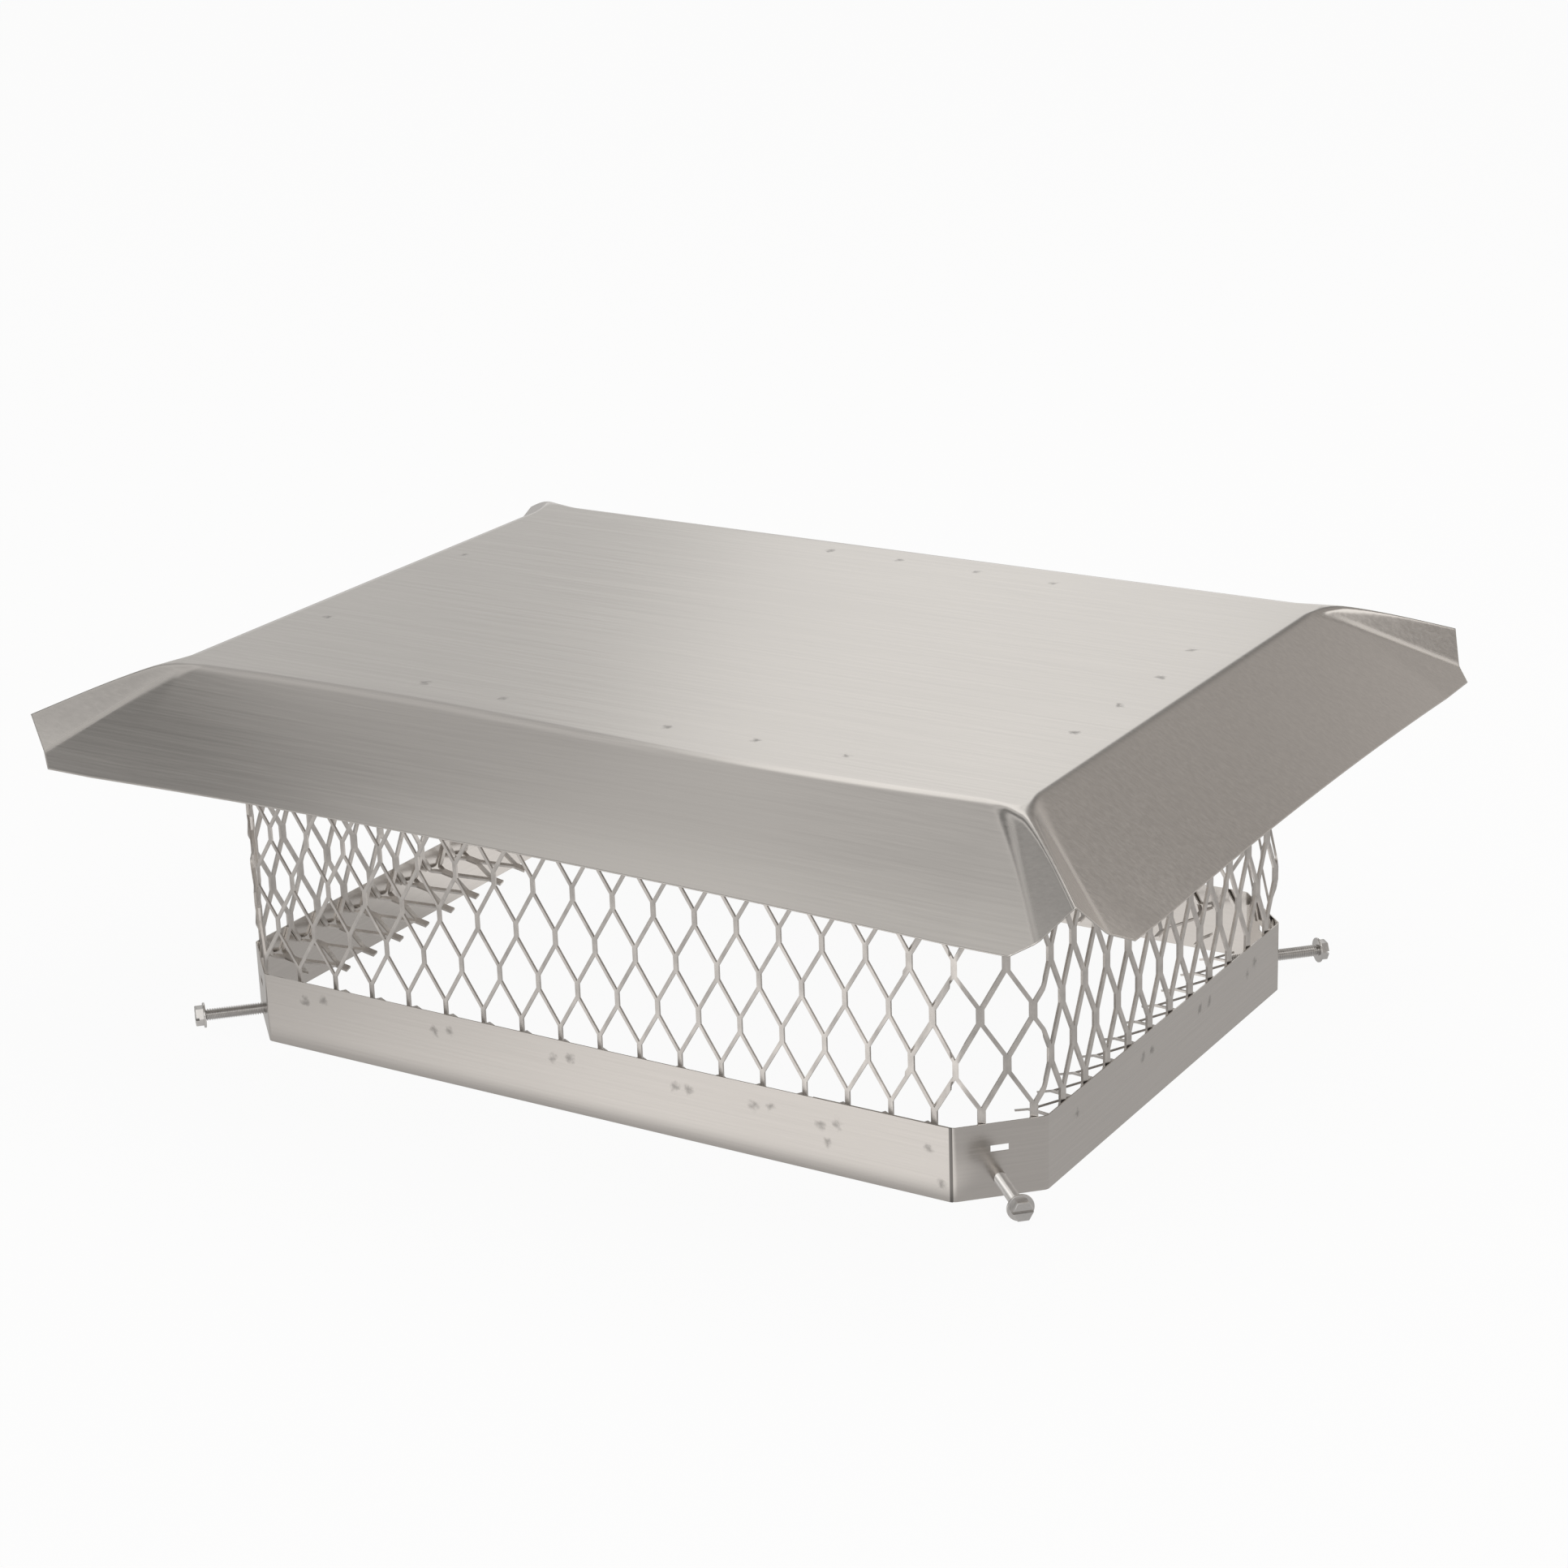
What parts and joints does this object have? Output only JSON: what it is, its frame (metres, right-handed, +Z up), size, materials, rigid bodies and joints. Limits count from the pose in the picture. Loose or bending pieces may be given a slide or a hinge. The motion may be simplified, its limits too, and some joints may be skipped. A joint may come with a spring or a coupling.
{
  "type": "chimney cap",
  "caption": "Rectangular chimney cap: pleated sheet hood on an expanded metal screen, with a band that clamps round the flue by corner screws.",
  "frame": {"origin": "middle of the clamp band at its lower edge", "axes": "+Z up, +X along the long side, -Y out of the long side where the band's lap is"},
  "size_m": [0.6256, 0.4756, 0.204],
  "materials": {
    "hood_steel": "brushed along the long side",
    "screen_steel": "sheared and drawn, dull",
    "band_steel": "brushed along the strip, with weld marks",
    "screw_steel": "bright, threaded"
  },
  "bodies": {
    "cap": {"hood": "hood_steel", "screen": "screen_steel", "band": "band_steel"},
    "screw_front_left": {"screw_front_left": "screw_steel"},
    "screw_front_right": {"screw_front_right": "screw_steel"},
    "screw_back_right": {"screw_back_right": "screw_steel"},
    "screw_back_left": {"screw_back_left": "screw_steel"}
  },
  "joints": [
    {"name": "clamp_front_left", "type": "slide", "parent": "cap", "child": "screw_front_left", "axis": [0.7071, 0.7071, 0], "range_m": [-0.018, 0.03]},
    {"name": "clamp_front_right", "type": "slide", "parent": "cap", "child": "screw_front_right", "axis": [-0.7071, 0.7071, 0], "range_m": [-0.018, 0.03]},
    {"name": "clamp_back_right", "type": "slide", "parent": "cap", "child": "screw_back_right", "axis": [-0.7071, -0.7071, 0], "range_m": [-0.018, 0.03]},
    {"name": "clamp_back_left", "type": "slide", "parent": "cap", "child": "screw_back_left", "axis": [0.7071, -0.7071, 0], "range_m": [-0.018, 0.03]}
  ]
}
